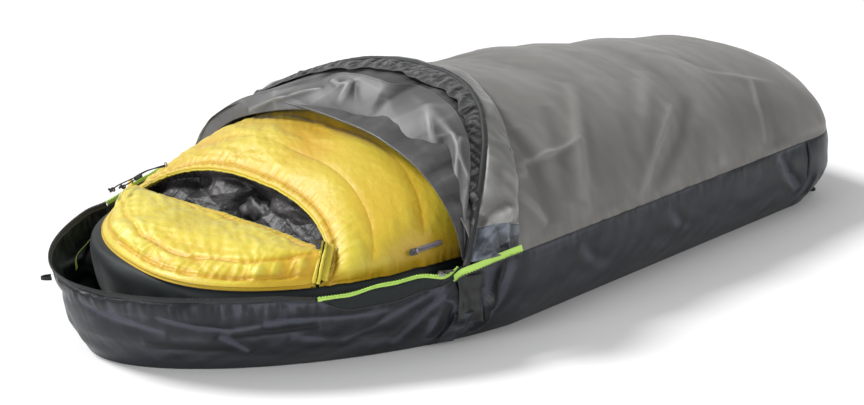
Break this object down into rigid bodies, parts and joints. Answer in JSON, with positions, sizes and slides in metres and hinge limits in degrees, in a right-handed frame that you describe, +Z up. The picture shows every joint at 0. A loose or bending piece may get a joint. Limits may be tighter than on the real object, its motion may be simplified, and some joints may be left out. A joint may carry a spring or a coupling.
{
  "type": "bivy sack",
  "caption": "One-person bivy sack with a tub floor, its clamshell hood thrown back, and the sleeping bag that it covers lying inside.",
  "frame": {"origin": "middle of the bounding box in plan, on the floor the sack rests on", "axes": "+X across the sack, +Y from the head end to the foot end, +Z up"},
  "size_m": [1.0314, 2.1483, 0.4894],
  "materials": {
    "tub": "coated nylon, slight sheen, soft wrinkles",
    "panel": "matt waterproof laminate, fine weave",
    "lining": "inner face of the laminate, soft sheen",
    "mesh": "fine insect netting, gathered",
    "tape": "woven zipper tape with coil",
    "lime": "bright woven zipper tape",
    "pole": "bendable rod",
    "webbing": "woven webbing",
    "yellow": "light down-proof nylon, sheen",
    "underside": "smooth dark nylon",
    "bag_lining": "thin crumpled nylon, soft sheen",
    "zip_metal": "cast slider, worn",
    "plastic": "moulded, matt",
    "zip_grey": "grey zipper tape with coil"
  },
  "bodies": {
    "bivy": {"tub_floor": "tub", "tub_head_wall": "tub", "tub_side_near": "tub", "tub_side_far": "tub", "tub_foot_wall": "tub", "top_panel": "panel", "rim_zip_tape_head": "tape", "rim_zip_tape_near": "lime", "rim_zip_tape_far": "lime", "side_patch_near": "webbing", "label_tab": "tape", "stake_loop_head": "webbing", "stake_loop_foot_near": "webbing", "stake_loop_foot_far": "webbing"},
    "hood": {"hood_inner_collar": "lining", "hood_outer_panel": "panel", "hood_back_flap": "panel", "hood_side_gusset_near": "tub", "hood_side_gusset_far": "tub", "hood_bug_mesh": "mesh", "hood_pole_sleeve": "tape", "hood_pole": "pole", "hood_zip_tape_near": "lime", "hood_zip_tape_far": "lime"},
    "bag": {"bag_underside": "underside", "bag_upper_shell": "yellow", "bag_hood_shell": "yellow", "bag_lining": "bag_lining", "bag_hood_lining": "bag_lining", "bag_draft_collar": "bag_lining", "bag_face_piping_upper": "yellow", "bag_face_piping_lower": "yellow", "bag_zip_tape": "tape", "bag_pocket_zip": "zip_grey", "bag_draw_cord": "webbing"},
    "rim_slider_near": {"rim_slider_near": "plastic"},
    "rim_slider_far": {"rim_slider_far": "plastic"},
    "rim_pull_near": {"rim_pull_near": "webbing"},
    "rim_pull_far": {"rim_pull_far": "webbing"},
    "bag_zip_slider": {"bag_zip_slider": "zip_metal"},
    "bag_zip_pull": {"bag_zip_pull": "plastic"},
    "bag_pocket_slider": {"bag_pocket_slider": "zip_metal"},
    "bag_pocket_pull": {"bag_pocket_pull": "plastic"},
    "bag_cord_lock": {"bag_cord_lock": "plastic"}
  },
  "joints": [
    {"name": "hood_fold", "type": "hinge", "parent": "bivy", "child": "hood", "pos_m": [0, -0.4102, 0.176], "axis": [1, 0, 0], "range_deg": [0, 45]},
    {"name": "bag_slide", "type": "slide", "parent": "bivy", "child": "bag", "axis": [0, -1, 0], "range_m": [0, 0.025]},
    {"name": "rim_slider_near_slide", "type": "slide", "parent": "bivy", "child": "rim_slider_near", "axis": [-0.23, -0.9732, 0], "range_m": [0, 0.08]},
    {"name": "rim_pull_near_flip", "type": "hinge", "parent": "rim_slider_near", "child": "rim_pull_near", "pos_m": [0.48769, -0.4672, 0.19631], "axis": [0.9732, -0.23, 0], "range_deg": [0, 150]},
    {"name": "rim_slider_far_slide", "type": "slide", "parent": "bivy", "child": "rim_slider_far", "axis": [0.23, -0.9732, 0], "range_m": [0, 0.08]},
    {"name": "rim_pull_far_flip", "type": "hinge", "parent": "rim_slider_far", "child": "rim_pull_far", "pos_m": [-0.48769, -0.4672, 0.19631], "axis": [0.9732, 0.23, 0], "range_deg": [0, 150]},
    {"name": "bag_zip_slide", "type": "slide", "parent": "bag", "child": "bag_zip_slider", "axis": [0.6817, -0.4492, -0.5775], "range_m": [0, 0.07]},
    {"name": "bag_zip_pull_flip", "type": "hinge", "parent": "bag_zip_slider", "child": "bag_zip_pull", "pos_m": [0.31329, -0.65831, 0.27053], "axis": [-0.5671, -0.8231, -0.0293], "range_deg": [0, 120]},
    {"name": "bag_pocket_slide", "type": "slide", "parent": "bag", "child": "bag_pocket_slider", "axis": [0.0643, 0.9957, 0.0665], "range_m": [0, 0.055]},
    {"name": "bag_pocket_pull_flip", "type": "hinge", "parent": "bag_pocket_slider", "child": "bag_pocket_pull", "pos_m": [0.41651, -0.47365, 0.2266], "axis": [-0.3601, -0.039, 0.9321], "range_deg": [0, 120]},
    {"name": "bag_cord_lock_slide", "type": "slide", "parent": "bag", "child": "bag_cord_lock", "axis": [0.2129, -0.9581, -0.1916], "range_m": [-0.01, 0.01]}
  ]
}
